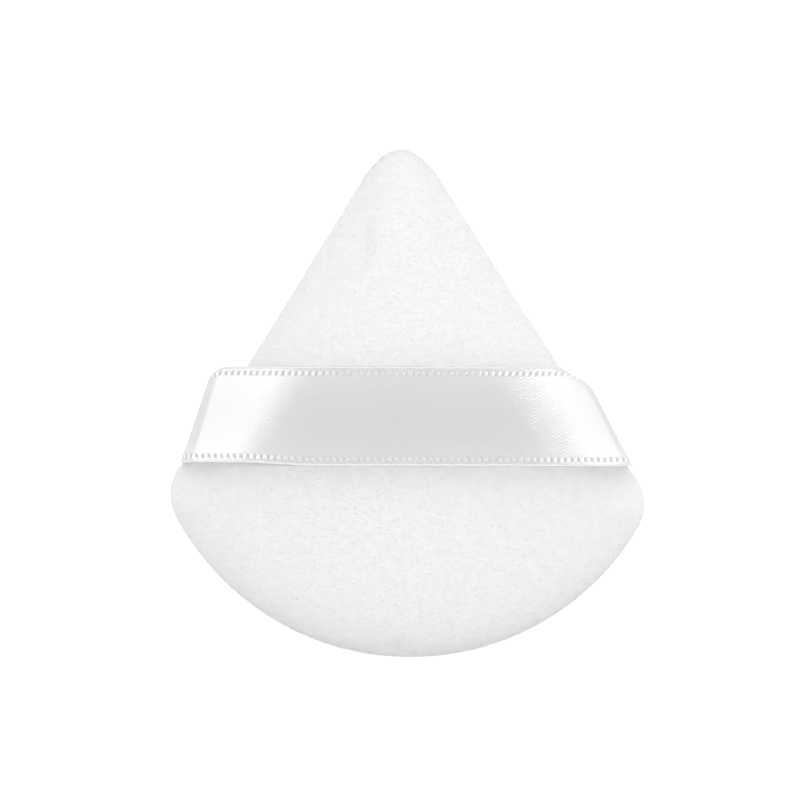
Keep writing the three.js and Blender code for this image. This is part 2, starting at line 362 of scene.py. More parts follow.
rim_rows = [
    (FOLD * (1 - math.cos(turn)), SEAM_GAP + FOLD * (1 - math.sin(turn)))
    for turn in np.linspace(0, math.pi / 2, FOLD_ROWS + 1)[1:]
]
rim_rows += [(inset, SEAM_GAP) for inset in np.linspace(FOLD, SEAM_ALLOWANCE, ALLOWANCE_ROWS + 1)[1:]]
rim_loops = [net_edge]
for row in range(len(rim_rows)):
    rim_loops.append(len(net_rim) + row * RIM_POINTS + np.arange(RIM_POINTS))


def rimmed(side, crowned):
    """A crown with its rim folded over the seam and its allowance, puckered along the stitches."""
    rings = [ring(net_rim[net_edge], inset, side * height) for inset, height in rim_rows]
    points = np.concatenate([crowned, *rings])
    shares = np.concatenate([net_share] + [net_share[net_edge]] * len(rings))
    above_seam = side * (points[:, 2] - SEAM_Z)
    near_fold = np.exp(-(((above_seam - FOLD) / PUCKER_REACH) ** 2))
    near_fold[-ALLOWANCE_ROWS * RIM_POINTS :] = 0
    points[:, 2] += side * PUCKER * near_fold * np.cos(2 * math.pi * PUCKERS * shares)
    past_edges = [np.tanh((points[:, 1] - edge[1]) / ROOM_EASE) for edge in (ribbon_low, ribbon_high)]
    in_seam = np.clip(1 - above_seam / ROOM_REACH, 0, 1)
    points[:, 2] += side * RIBBON_ROOM / 2 * (past_edges[0] - past_edges[1]) * in_seam
    points[:, 2] = np.maximum(points[:, 2], front_low[2] + PILE)
    return askew(points)


back_rise, front_rise = back_high[2] - SEAM_Z, SEAM_Z - front_low[2]
back_crown = crown(1, 0, SEAM_GAP + FOLD, back_rise - PILE, BACK_LEVEL)
front_crown = crown(-1, 0, SEAM_GAP + FOLD, front_rise - PILE, FRONT_LEVEL)
back_crown, front_crown = filled_out(back_crown, front_crown)

pile_grounds = []
for name, node, side, crowned in (
    ("back_velour", "back_panel", 1, back_crown),
    ("front_velour", "front_panel", -1, front_crown),
):
    points = rimmed(side, crowned)
    faces = turned_out(side, np.concatenate([net_faces, walls(rim_loops)]))
    panel = thicken(new_piece(name, points, faces), VELOUR)
    panel.data.materials.append(velour)
    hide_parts(node)
    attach(panel, "pad")
    pile_faces = turned_out(side, np.concatenate([net_faces, walls(rim_loops[:PILE_LOOPS])]))
    pile_grounds.append((name, points, pile_faces))

# Velour pile
# The cut loops of the velour: short soft fibres of the same yarn that stand all over each panel's outer
# face and lean a little every way. They are held by the backing that they are woven into.

FIBRES_PER_MM2 = 11
FIBRE_LENGTH = 0.24
FIBRE_WIDTH = 0.1
FIBRE_LEAN = 0.25
FIBRE_SIDES = 3
FIBRE_SCALES = (0.7, 1.0)


def new_tree(name, **inputs):
    """A geometry tree with named inputs, and its group input."""
    tree = bpy.data.node_groups.new(name, "GeometryNodeTree")
    tree.interface.new_socket("Geometry", in_out="OUTPUT", socket_type="NodeSocketGeometry")
    tree.interface.new_socket("Geometry", in_out="INPUT", socket_type="NodeSocketGeometry")
    for label, kind in inputs.items():
        tree.interface.new_socket(label, in_out="INPUT", socket_type="NodeSocket" + kind)
    return tree, tree.nodes.new("NodeGroupInput").outputs


def put_out(tree, geometry, material):
    """Ends a tree with plain, smooth geometry in one material."""
    plain = add(tree, "GeometryNodeRealizeInstances", {"Geometry": geometry})
    smooth = add(tree, "GeometryNodeSetShadeSmooth", {"Geometry": plain.outputs[0]})
    dyed = add(tree, "GeometryNodeSetMaterial", {"Geometry": smooth.outputs[0], "Material": material})
    add(tree, "NodeGroupOutput", {"Geometry": dyed.outputs[0]})


def grown(name, ground, tree, **inputs):
    """A piece that a geometry tree makes on a ground piece, which it uses up."""
    modifier = ground.modifiers.new(tree.name, "NODES")
    modifier.node_group = tree
    for socket in tree.interface.items_tree:
        if socket.name in inputs:
            modifier[socket.identifier] = inputs[socket.name]
    ground.name = name
    return finished(ground)


def reckon_vector(tree, operation, inputs):
    """The results of a sum with vectors."""
    return add(tree, "ShaderNodeVectorMath", inputs, operation=operation).outputs


pile_tree, given = new_tree(
    "velour_pile",
    Density="Float",
    Length="Float",
    Width="Float",
    Lean="Float",
    Seed="Int",
    Material="Material",
)
spots = add(
    pile_tree,
    "GeometryNodeDistributePointsOnFaces",
    {"Mesh": given["Geometry"], "Density": given["Density"], "Seed": given["Seed"]},
)
any_way = {0: (-1, -1, -1), 1: (1, 1, 1), "Seed": given["Seed"]}
lean = add(pile_tree, "FunctionNodeRandomValue", any_way, data_type="FLOAT_VECTOR").outputs[0]
lean = reckon_vector(pile_tree, "SCALE", {0: lean, "Scale": given["Lean"]})["Vector"]
stand = reckon_vector(pile_tree, "ADD", {0: spots.outputs["Normal"], 1: lean})["Vector"]
turned = add(pile_tree, "FunctionNodeAlignRotationToVector", {"Vector": stand}, axis="Z")
fibre = add(
    pile_tree,
    "GeometryNodeMeshCone",
    {"Vertices": FIBRE_SIDES, "Radius Bottom": given["Width"], "Depth": given["Length"]},
    fill_type="NONE",
)
uneven = {2: FIBRE_SCALES[0], 3: FIBRE_SCALES[1], "Seed": given["Seed"]}
size = add(pile_tree, "FunctionNodeRandomValue", uneven, data_type="FLOAT")
fibres = add(
    pile_tree,
    "GeometryNodeInstanceOnPoints",
    {
        "Points": spots.outputs["Points"],
        "Instance": fibre.outputs["Mesh"],
        "Rotation": turned.outputs[0],
        "Scale": size.outputs[1],
    },
)
put_out(pile_tree, fibres.outputs[0], given["Material"])

for seed, (name, points, faces) in enumerate(pile_grounds, 1):
    pile = grown(
        name.replace("velour", "pile"),
        new_piece(name + "_ground", points, faces),
        pile_tree,
        Density=FIBRES_PER_MM2 / MM**2,
        Length=FIBRE_LENGTH * MM,
        Width=FIBRE_WIDTH / 2 * MM,
        Lean=FIBRE_LEAN,
        Seed=seed,
        Material=velour,
    )
    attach(pile, "pad")

# Satin ribbon strap
# One length of polyester satin ribbon. Its two ends lie in the side seams between the allowances, and it
# stands over the back in a flat-topped arch that rolls over at the sides, so that fingers go under it.

RIBBON = 0.18
CORD_ROOM = (0.25, 0.1)  # the cords stand out a little further than the satin
RIBBON_EDGES = (ribbon_low[1] + CORD_ROOM[0], ribbon_high[1] - CORD_ROOM[1])
STEEP = math.radians(25)

# Each end's measures from the pad's middle, with pairs for the lower and the upper edge: how far out it
# stands, where its level top ends, over what length it bends down, how it rolls over, how far its side is
# pulled towards the base, how far its upper corner is tucked in and how far its lower edge is lifted.
LEFT_END = {
    "side": -1,
    "widest": (36.0, 31.25),
    "level": (18.3, 9.7),
    "bend": 13,
    "roll": (4.0, 3.3),
    "pull": (0.0, 1.1),
    "pull_reach": 2.2,
    "tuck": 0.5,
    "tuck_reach": 0.8,
    "lift": 0.5,
}
RIGHT_END = {
    "side": 1,
    "widest": (35.95, 28.7),
    "level": (18.5, 8.6),
    "bend": 15,
    "roll": (2.4, 2.4),
    "pull": (-0.1, 1.5),
    "pull_reach": 4,
    "tuck": 2,
    "tuck_reach": 2.5,
    "lift": 0,
}
PULL_DROP = 0.1
LIFTED = (14, 27)  # where the lift begins and where it is full
RIBBON_TILT = -0.002
CORD_INSET = 0.1
LOOP_ROW = 1.0
LOOP_PITCH = 1.1
EDGE_STEPS = np.array([0, CORD_INSET, 0.4, 0.6, LOOP_ROW, 1.4, 1.55, 2.0, 3.2, 4.5, 6.2])
TAIL_STEPS, WALL_STEPS, ROLL_STEPS, SHOULDER_STEPS, LEVEL_STEPS = 6, 16, 14, 32, 16
FLANK_POINTS = 300

ribbon_width = RIBBON_EDGES[1] - RIBBON_EDGES[0]
ribbon_steps = np.concatenate([EDGE_STEPS, [ribbon_width / 2], ribbon_width - EDGE_STEPS[::-1]])


def flank_x(y, side, inset):
    """Where a flank lies, drawn in by an inset, at a place along the pad's length."""
    rim = askew(ring(pad_outline(2 * FLANK_POINTS), inset, 0))
    right = rim[: FLANK_POINTS + 1]
    left = np.concatenate([rim[:1], rim[: FLANK_POINTS - 1 : -1]])
    flank = right if side > 0 else left
    return np.interp(y, flank[:, 1], flank[:, 0])


def ribbon_half(share, end):
    """The ribbon's line at a share of its width, from its tail in the seam to its middle."""
    side = end["side"]
    y = RIBBON_EDGES[0] + share * ribbon_width
    lift = end["lift"] * (1 - share)
    seam_x = abs(flank_x(y + lift, side, 0))
    tail_x = abs(flank_x(y + lift, side, SEAM_ALLOWANCE))
    pairs = (end[name] for name in ("widest", "level", "roll", "pull"))
    widest, level, roll, pull = (lower + share * (upper - lower) for lower, upper in pairs)
    widest -= end["tuck"] * max(1 - (RIBBON_EDGES[1] - y) / end["tuck_reach"], 0) ** 2

    x = np.linspace(level, widest - roll * (1 - math.sin(STEEP)), SHOULDER_STEPS + 1)
    slope = np.tan(STEEP * np.clip((x - level) / end["bend"], 0, 1))
    top = ribbon_high[2] - SEAM_Z - RIBBON / 2
    drop = np.concatenate([[0], np.cumsum((slope[1:] + slope[:-1]) / 2 * np.diff(x))])
    shoulder = np.column_stack([x, top - drop])[::-1]

    turn = np.linspace(0, math.pi / 2 - STEEP, ROLL_STEPS + 1)
    roll_z = shoulder[0, 1] - roll * math.cos(STEEP)
    rolled = np.column_stack([widest - roll + roll * np.cos(turn), roll_z + roll * np.sin(turn)])
    turn = np.linspace(0, math.pi / 2, WALL_STEPS + 1)
    wall = np.column_stack([seam_x + (widest - seam_x) * np.sin(turn), roll_z * (1 - np.cos(turn))])
    tail = np.column_stack([np.linspace(tail_x, seam_x, TAIL_STEPS + 1), np.zeros(TAIL_STEPS + 1)])
    flat = np.column_stack([np.linspace(x[0], 0, LEVEL_STEPS + 1), np.full(LEVEL_STEPS + 1, top)])
    line = np.concatenate([tail, wall[1:], rolled[1:], shoulder[1:], flat[1:]])

    pulled = np.clip(1 - (widest - line[:, 0]) / end["pull_reach"], 0, 1) ** 2
    before_roll = np.arange(len(line)) < TAIL_STEPS + WALL_STEPS
    pulled[before_roll] = np.clip((line[before_roll, 0] - seam_x) / (widest - seam_x), 0, 1)
    lifted = np.clip((line[:, 0] - LIFTED[0]) / (LIFTED[1] - LIFTED[0]), 0, 1)
    along = y + RIBBON_TILT * side * line[:, 0] + lift * np.sin(lifted * math.pi / 2) ** 2
    along -= pulled * pull
    height = SEAM_Z + line[:, 1] - PULL_DROP * pulled * pull
    return np.column_stack([side * line[:, 0], along, height])


ribbon_grid = []
for share in ribbon_steps / ribbon_width:
    left, right = ribbon_half(share, LEFT_END), ribbon_half(share, RIGHT_END)
    ribbon_grid.append(np.concatenate([left, right[-2::-1]]))
ribbon_grid = np.stack(ribbon_grid, axis=1)
ribbon_out = np.cross(np.gradient(ribbon_grid, axis=0), np.gradient(ribbon_grid, axis=1))
ribbon_out /= np.linalg.norm(ribbon_out, axis=2, keepdims=True)

stations, columns = ribbon_grid.shape[:2]
ribbon_run = np.zeros((stations, columns))
ribbon_run[1:] = np.cumsum(np.linalg.norm(np.diff(ribbon_grid, axis=0), axis=2), axis=0)
ribbon_run -= ribbon_run[stations // 2]
faces = [
    (i * columns + j, (i + 1) * columns + j, (i + 1) * columns + j + 1, i * columns + j + 1)
    for i in range(stations - 1)
    for j in range(columns - 1)
]
ribbon = new_piece("satin_ribbon", ribbon_grid.reshape(-1, 3), faces)
cloth_map = ribbon.data.uv_layers.new(name="cloth")
for corner_of_face in ribbon.data.loops:
    i, j = divmod(corner_of_face.vertex_index, columns)
    in_cloth = (ribbon_run[i, j] / ribbon_width, ribbon_steps[j] / ribbon_width)
    cloth_map.uv[corner_of_face.index].vector = in_cloth
thicken(ribbon, RIBBON)

FLOAT_LINES = (16, 27), (-14.4, 29.7)  # along and across, in a square of the ribbon's width
FLOAT_DEPTH = 0.028
SLUB_SCALE = 30
PATCH_SCALE = 9
# The second tone is painted shade in the gaps between the loops, not a colour of the yarn.
SATIN_AND_GAP_SHADE_TONES = (0.605, 0.605, 0.605), (0.44, 0.44, 0.44)  # of the cloth and of the gaps in it
GAP_SIZE = (0.25, 0.44)
GAP_SLANT = 0.25
GAP_EDGE = (1.3, 0.6)
GAP_ROUGH = (0.4, 1.0)
BEND_SLANT = 0.58
ROLL_SLANT = 0.8
SATIN_DEPTH = 1.2

# How strong the floats, the gaps and their painted shade show: over what span, mostly in ribbon widths, and
# from what to what.
FLOAT_PATCHES = (0.35, 0.65), (0.3, 1.0)
FLOATS_TO_RIGHT = (-1.6, 1.6), (0.3, 0.75)
FLOATS_OPENED = (1.35, 1.6), (0.35, 1.0)
FLOATS_DRAWN_FLAT = (1.75, 2.0), (1.0, 0.25)
GAP_SHADE_TOWARD_ENDS = (1.2, 1.55), (0.12, 1.0)
GAPS_CLOSED_UP = (2.2, 2.5), (1.0, 0.25)


def with_share(tree, first, second, share):
    """A number with a share of another one added."""
    return reckon(tree, "ADD", first, reckon(tree, "MULTIPLY", second, share))


def to_nearer_end(tree, share):
    """How far a number between 0 and 1 is from the nearer of the two."""
    from_middle = reckon(tree, "ABSOLUTE", reckon(tree, "SUBTRACT", share, 0.5))
    return reckon(tree, "SUBTRACT", 0.5, from_middle)


def silky(tree):
    """The surface inputs that satin cloth and its yarn share: a gloss drawn out across the yarns."""
    tangent = add(tree, "ShaderNodeTangent", direction_type="UV_MAP", uv_map="cloth")
    return {
        "Tangent": tangent.outputs[0],
        "Anisotropic": 0.85,
        "Anisotropic Rotation": 0.25,
        "IOR": 2.4,
        "Specular IOR Level": 1.0,
    }


satin, tree, shader = new_material("satin")
cloth_uv = add(tree, "ShaderNodeUVMap", uv_map="cloth").outputs[0]
cloth_xy = add(tree, "ShaderNodeSeparateXYZ", {0: cloth_uv}).outputs
toward_end = with_share(tree, reckon(tree, "ABSOLUTE", cloth_xy["X"]), cloth_xy["Y"], BEND_SLANT)
slub = noise(tree, cloth_uv, SLUB_SCALE, detail=2)


def float_lines(along, across):
    """The slanting lines that the floats of a satin weave make, by their number along and across it."""
    count = with_share(tree, reckon(tree, "MULTIPLY", cloth_xy["X"], along), cloth_xy["Y"], across)
    return reckon(tree, "SINE", reckon(tree, "MULTIPLY", reckon(tree, "ADD", count, slub), 2 * math.pi))


weave = reckon(tree, "ADD", float_lines(*FLOAT_LINES[0]), float_lines(*FLOAT_LINES[1]))
patches = noise(tree, cloth_uv, PATCH_SCALE, detail=1)
for place, strengths in (
    (patches, FLOAT_PATCHES),
    (cloth_xy["X"], FLOATS_TO_RIGHT),
    (toward_end, FLOATS_OPENED),
    (toward_end, FLOATS_DRAWN_FLAT),
):
    weave = reckon(tree, "MULTIPLY", weave, ranged(tree, place, *strengths))

from_row = reckon(tree, "SUBTRACT", to_nearer_end(tree, cloth_xy["Y"]), LOOP_ROW / ribbon_width)
slanted = with_share(tree, cloth_xy["X"], from_row, GAP_SLANT)
in_pitch = reckon(tree, "FRACT", reckon(tree, "MULTIPLY", slanted, ribbon_width / LOOP_PITCH))
gap_share = reckon(tree, "MULTIPLY", to_nearer_end(tree, in_pitch), LOOP_PITCH / GAP_SIZE[0])
row_share = reckon(tree, "ABSOLUTE", reckon(tree, "MULTIPLY", from_row, ribbon_width / GAP_SIZE[1]))
gap_round = reckon(tree, "ADD", reckon(tree, "POWER", gap_share, 2), reckon(tree, "POWER", row_share, 2))
gaps = ranged(tree, gap_round, GAP_EDGE, interpolation_type="SMOOTHSTEP")
past_roll = with_share(tree, cloth_xy["X"], cloth_xy["Y"], ROLL_SLANT)
gaps = reckon(tree, "MULTIPLY", gaps, ranged(tree, past_roll, *GAPS_CLOSED_UP))
# The gaps are painted darker as shade in the openings between the loops, more so towards the ends where the
# ribbon bends.
painted_gap_shade = reckon(tree, "MULTIPLY", gaps, ranged(tree, toward_end, *GAP_SHADE_TOWARD_ENDS))
satin_look = {
    "Base Color": tone(tree, painted_gap_shade, *SATIN_AND_GAP_SHADE_TONES),
    "Roughness": ranged(tree, gaps, (0, 1), GAP_ROUGH),
    "Normal": bumped(tree, weave, 1.0, FLOAT_DEPTH),
    "Subsurface Weight": 1.0,
    "Subsurface Radius": (1, 1, 1),
    "Subsurface Scale": SATIN_DEPTH * MM,
    **silky(tree),
}
set_inputs(tree, shader, satin_look)
ribbon.data.materials.append(satin)

# Ribbon selvedge
# Both edges of the ribbon are finished on the loom: a twisted cord along the very edge, and beside it a
# row of small loops of the weft yarn. They are woven in one with the satin.

CORD_RADIUS = 0.19
CORD_PRESSED = 0.6
CORD_RISE = 0.03
CORD_TWIST = 900
CORD_STEP = 0.2
PLY_RADIUS = 0.62  # of the cord's radius, as is the next
PLY_AWAY = 0.5
PLY_SIDES = 6


def named_vector(tree, name):
    """A vector that the points of a geometry carry under a name."""
    return add(tree, "GeometryNodeInputNamedAttribute", {"Name": name}, data_type="FLOAT_VECTOR").outputs[0]


cord_tree, given = new_tree(
    "twisted_cord",
    Step="Float",
    Radius="Float",
    Twist="Float",
    Pressed="Float",
    Material="Material",
)
course = add(cord_tree, "GeometryNodeMeshToCurve", {"Mesh": given["Geometry"]})
course = add(
    cord_tree,
    "GeometryNodeResampleCurve",
    {"Curve": course.outputs[0], "Length": given["Step"]},
    mode="LENGTH",
)
here = add(cord_tree, "GeometryNodeInputPosition").outputs[0]
course = add(
    cord_tree,
    "GeometryNodeStoreNamedAttribute",
    {"Geometry": course.outputs[0], "Name": "middle", "Value": here},
    data_type="FLOAT_VECTOR",
)
length = add(cord_tree, "GeometryNodeSplineParameter").outputs["Length"]
twist = reckon(cord_tree, "MULTIPLY", length, given["Twist"])
course = add(cord_tree, "GeometryNodeSetCurveTilt", {"Curve": course.outputs[0], "Tilt": twist})
ply_radius = reckon(cord_tree, "MULTIPLY", given["Radius"], PLY_RADIUS)
plies = add(cord_tree, "GeometryNodeJoinGeometry")
for side in (-1, 1):
    circle = {"Resolution": PLY_SIDES, "Radius": ply_radius}
    ply = add(cord_tree, "GeometryNodeCurvePrimitiveCircle", circle)
    away = reckon(cord_tree, "MULTIPLY", given["Radius"], side * PLY_AWAY)
    shift = add(cord_tree, "ShaderNodeCombineXYZ", {"X": away})
    moved = add(
        cord_tree,
        "GeometryNodeTransform",
        {"Geometry": ply.outputs[0], "Translation": shift.outputs[0]},
    )
    cord_tree.links.new(moved.outputs[0], plies.inputs[0])
cord = add(
    cord_tree,
    "GeometryNodeCurveToMesh",
    {"Curve": course.outputs[0], "Profile Curve": plies.outputs[0], "Fill Caps": True},
)
facing = named_vector(cord_tree, "facing")
depth = reckon_vector(cord_tree, "SUBTRACT", {0: named_vector(cord_tree, "middle"), 1: here})["Vector"]
depth = reckon_vector(cord_tree, "DOT_PRODUCT", {0: depth, 1: facing})["Value"]
depth = reckon(cord_tree, "MULTIPLY", depth, given["Pressed"])
press = reckon_vector(cord_tree, "SCALE", {0: facing, "Scale": depth})["Vector"]
cord = add(cord_tree, "GeometryNodeSetPosition", {"Geometry": cord.outputs[0], "Offset": press})
put_out(cord_tree, cord.outputs[0], given["Material"])


def new_course(name, lines, facing=None):
    """Open lines of points, in millimetres, for a tree to follow, each with the direction that it faces."""
    starts = np.cumsum([0] + [len(line) for line in lines])
    edges = [(i, i + 1) for a, b in zip(starts, starts[1:]) for i in range(a, b - 1)]
    mesh = bpy.data.meshes.new(name)
    mesh.from_pydata((np.concatenate(lines) * MM).tolist(), edges, [])
    if facing is not None:
        attribute = mesh.attributes.new("facing", "FLOAT_VECTOR", "POINT")
        attribute.data.foreach_set("vector", np.concatenate(facing).astype(np.float32).ravel())
    course = bpy.data.objects.new(name, mesh)
    bpy.context.scene.collection.objects.link(course)
    return course


def column_at(place):
    """The column of the ribbon's grid that lies nearest to a place across it."""
    return int(np.argmin(np.abs(ribbon_steps - place)))


YARN_SCALE = 6000
YARN_TONES = (0.94, 0.94, 0.94), (0.98, 0.98, 0.98)
YARN_DEPTH = 0.03

cord_yarn, tree, shader = new_material("selvedge_yarn")
place = add(tree, "ShaderNodeTexCoord").outputs["Object"]
strand = noise(tree, place, YARN_SCALE, detail=2)
yarn_look = {
    "Base Color": tone(tree, strand, *YARN_TONES),
    "Roughness": 0.45,
    "Normal": bumped(tree, strand, 0.3, YARN_DEPTH),
    "Specular IOR Level": 0.9,
}
set_inputs(tree, shader, yarn_look)

outside = slice(TAIL_STEPS, stations - TAIL_STEPS)
cord_columns = [column_at(CORD_INSET), column_at(ribbon_width - CORD_INSET)]
cord_courses = [(ribbon_grid + CORD_RISE * ribbon_out)[outside, j] for j in cord_columns]
cord_facings = [ribbon_out[outside, j] for j in cord_columns]
cords = grown(
    "selvedge_cords",
    new_course("selvedge_courses", cord_courses, cord_facings),
    cord_tree,
    Step=CORD_STEP * MM,
    Radius=CORD_RADIUS * MM,
    Twist=CORD_TWIST * 2 * math.pi,
    Pressed=CORD_PRESSED,
    Material=cord_yarn,
)

LOOP_SIZE = (0.31, 0.48, 0.08)
LOOP_SLANT = -0.2
LOOP_SEGMENTS, LOOP_RINGS = 8, 6
WEFT_SCALE = 5000
# The loops' own tone, and a lighter one painted towards the ribbon's ends as a painted highlight where the
# rounded loops catch the lamps.
WEFT_AND_HIGHLIGHT_TONES = (0.6, 0.6, 0.6), (0.85, 0.85, 0.85)
WEFT_ROUGH = (0.36, 0.46)
WEFT_HIGHLIGHT_TOWARD_ENDS = (12.5 * MM, 18.5 * MM)

weft_yarn, tree, shader = new_material("weft_yarn")
place = add(tree, "ShaderNodeTexCoord").outputs["Object"]
place_xy = add(tree, "ShaderNodeSeparateXYZ", {0: place}).outputs
toward_end = with_share(tree, reckon(tree, "ABSOLUTE", place_xy["X"]), place_xy["Y"], BEND_SLANT)
strand = noise(tree, place, WEFT_SCALE, detail=2)
# Lighter towards the ends: painted highlight on the loops.
weft_look = {
    "Base Color": tone(tree, ranged(tree, toward_end, WEFT_HIGHLIGHT_TOWARD_ENDS), *WEFT_AND_HIGHLIGHT_TONES),
    "Roughness": ranged(tree, strand, (0, 1), WEFT_ROUGH),
    **silky(tree),
}
set_inputs(tree, shader, weft_look)

loop_tree, given = new_tree("selvedge_loops", Size="Vector", Slant="Float", Material="Material")
course = add(loop_tree, "GeometryNodeMeshToCurve", {"Mesh": given["Geometry"]})
facing = named_vector(loop_tree, "facing")
upright = add(loop_tree, "FunctionNodeAlignRotationToVector", {"Vector": facing}, axis="Z")
heading = add(loop_tree, "GeometryNodeInputTangent")
square = add(
    loop_tree,
    "FunctionNodeAlignRotationToVector",
    {"Rotation": upright.outputs[0], "Vector": heading.outputs[0]},
    axis="X",
    pivot_axis="Z",
)
unit_ball = {"Segments": LOOP_SEGMENTS, "Rings": LOOP_RINGS, "Radius": 1.0}
oval = add(loop_tree, "GeometryNodeMeshUVSphere", unit_ball)
on_oval = add(loop_tree, "GeometryNodeInputPosition")
oval = add(
    loop_tree,
    "GeometryNodeStoreNamedAttribute",
    {"Geometry": oval.outputs["Mesh"], "Name": "cloth", "Value": on_oval.outputs[0]},
    data_type="FLOAT2",
    domain="CORNER",
)
slant = add(loop_tree, "ShaderNodeCombineXYZ", {"Z": given["Slant"]})
oval = add(loop_tree, "GeometryNodeTransform", {"Geometry": oval.outputs[0], "Scale": given["Size"]})
oval = add(loop_tree, "GeometryNodeTransform", {"Geometry": oval.outputs[0], "Rotation": slant.outputs[0]})
loops = add(
    loop_tree,
    "GeometryNodeInstanceOnPoints",
    {"Points": course.outputs[0], "Instance": oval.outputs[0], "Rotation": square.outputs[0]},
)
put_out(loop_tree, loops.outputs[0], given["Material"])

loop_courses = []
loop_facings = []
for j in (column_at(LOOP_ROW), column_at(ribbon_width - LOOP_ROW)):
    run = ribbon_run[outside, j]
    steps = np.arange(math.ceil(run[0] / LOOP_PITCH), math.floor(run[-1] / LOOP_PITCH)) + 0.5
    loop_courses.append(along_line(steps * LOOP_PITCH, run, ribbon_grid[outside, j]))
    loop_facings.append(along_line(steps * LOOP_PITCH, run, ribbon_out[outside, j]))

weft = grown(
    "selvedge_loops",
    new_course("loop_courses", loop_courses, loop_facings),
    loop_tree,
    Size=[size * MM for size in LOOP_SIZE],
    Slant=LOOP_SLANT,
    Material=weft_yarn,
)

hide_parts("ribbon_strap")
for piece in (ribbon, cords, weft):
    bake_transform(piece)

# Lockstitch threads
# The machine seam that joins both panels and the ribbon ends: spun polyester thread, sewn from the inside
# before turning. A needle thread and a bobbin thread lie along the allowances and meet in every hole.

STITCH_INSET = 2.6
STITCH_LENGTH = 4.5
THREAD_RADIUS = 0.15
THREAD_TWIST = 700
THREAD_HEIGHT = 1.6
THREAD_MEETING = 0.45
NEEDLE_DIP = 0.45
TURNING_GAP = 26
STITCH_POINTS = 1200

stitch_line = askew(ring(pad_outline(STITCH_POINTS), STITCH_INSET, 0))
stitch_line = np.concatenate([stitch_line, stitch_line[:1]])
stitch_run = run_of(stitch_line)


def stitch_places(start, end):
    """Distances along the seam, about a stitch apart, from the middle of the base."""
    return np.linspace(start, end, round((end - start) / STITCH_LENGTH) + 1)


def thread_course(distances, heights):
    """A thread's points at distances along the seam and heights above it."""
    points = along_line(np.mod(distances, stitch_run[-1]), stitch_run, stitch_line)
    points[:, 2] += heights
    return points


THREAD_STEP = 0.3
SPUN_SCALE = 5000
SPUN_DEPTH = 0.04
THREAD_TONES = (0.88, 0.88, 0.87), (0.95, 0.95, 0.94)
THREAD_ROUGH = (0.5, 0.75)

thread, tree, shader = new_material("thread")
place = add(tree, "ShaderNodeTexCoord").outputs["Object"]
strand = noise(tree, place, SPUN_SCALE, detail=3)
thread_look = {
    "Base Color": tone(tree, strand, *THREAD_TONES),
    "Roughness": ranged(tree, strand, (0, 1), THREAD_ROUGH),
    "Normal": bumped(tree, strand, 0.4, SPUN_DEPTH),
}
set_inputs(tree, shader, thread_look)


def sewn(name, node, course):
    """A thread along a course, in the place of a node."""
    piece = grown(
        name,
        new_course(name + "_course", [course]),
        cord_tree,
        Step=THREAD_STEP * MM,
        Radius=THREAD_RADIUS * MM,
        Twist=THREAD_TWIST * 2 * math.pi,
        Material=thread,
    )
    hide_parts(node)
    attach(piece, "pad")


locks = stitch_places(TURNING_GAP / 2, stitch_run[-1] - TURNING_GAP / 2)
lock_run = (locks[:, None] + [-NEEDLE_DIP, 0, NEEDLE_DIP]).ravel()
lock_heights = np.tile([THREAD_HEIGHT, THREAD_MEETING, THREAD_HEIGHT], len(locks))
sewn("needle_stitches", "needle_thread", thread_course(lock_run, lock_heights))
sewn("bobbin_stitches", "bobbin_thread", thread_course(lock_run, -lock_heights))

# Foam core
# The filling: one piece of soft off-white open-cell foam, cut to the pad's outline and crowned on both
# sides, with a groove round its rim for the allowances. It lies loose between the panels.

CORE_DEPTH = 1.8
CORE_FOOT = 3.0
GROOVE_INSET = 5.5
GROOVE_HEIGHT = 2.05

core_back = crown(1, CORE_FOOT, GROOVE_HEIGHT, back_rise - CORE_DEPTH, BACK_LEVEL)
core_front = crown(-1, CORE_FOOT, GROOVE_HEIGHT, front_rise - CORE_DEPTH, FRONT_LEVEL)
groove = [ring(net_rim[net_edge], GROOVE_INSET, height) for height in (GROOVE_HEIGHT, -GROOVE_HEIGHT)]
below = 2 * RIM_POINTS + len(net_rim)
groove_loops = [len(net_rim) + row * RIM_POINTS + np.arange(RIM_POINTS) for row in (0, 1)]
faces = [net_faces, walls([net_edge, *groove_loops, net_edge + below]), turned_out(-1, net_faces) + below]
core_points = askew(np.concatenate([core_back, *groove, core_front]))
core = new_piece("foam_filling", core_points, np.concatenate(faces))

CELL_SCALE = 1600
CELL_WALLS = (0.15, 0.6)
CELL_DEPTH = 0.3
# The darker tone is painted shade in the pores; the lighter one is the foam's own colour.
FOAM_AND_PORE_SHADE_TONES = (0.74, 0.72, 0.66), (0.93, 0.91, 0.85)

foam, tree, shader = new_material("foam")
place = add(tree, "ShaderNodeTexCoord").outputs["Object"]
cells = add(tree, "ShaderNodeTexVoronoi", {"Vector": place, "Scale": CELL_SCALE})
# The middles of the cells, sunk by the bump, are painted darker as shade in the pores.
pores = ranged(tree, cells.outputs["Distance"], CELL_WALLS)
foam_look = {
    "Base Color": tone(tree, pores, *FOAM_AND_PORE_SHADE_TONES),
    "Roughness": 0.95,
    "Normal": bumped(tree, pores, 0.8, CELL_DEPTH),
}
set_inputs(tree, shader, foam_look)
core.data.materials.append(foam)
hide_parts("foam_core")
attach(core, "pad")

# Closing thread
# The same thread, sewn by hand after filling: a ladder stitch through both allowances that draws the
# turning gap in the base shut.

rungs = stitch_places(STITCH_LENGTH - TURNING_GAP / 2, TURNING_GAP / 2 - STITCH_LENGTH)
# Each rung crosses to the other allowance, and the thread stays on that side up to the next rung.
closing_heights = THREAD_HEIGHT * np.where((np.arange(2 * len(rungs)) + 1) // 2 % 2 == 0, 1, -1)
sewn("closing_stitches", "closing_thread", thread_course(np.repeat(rungs, 2), closing_heights))

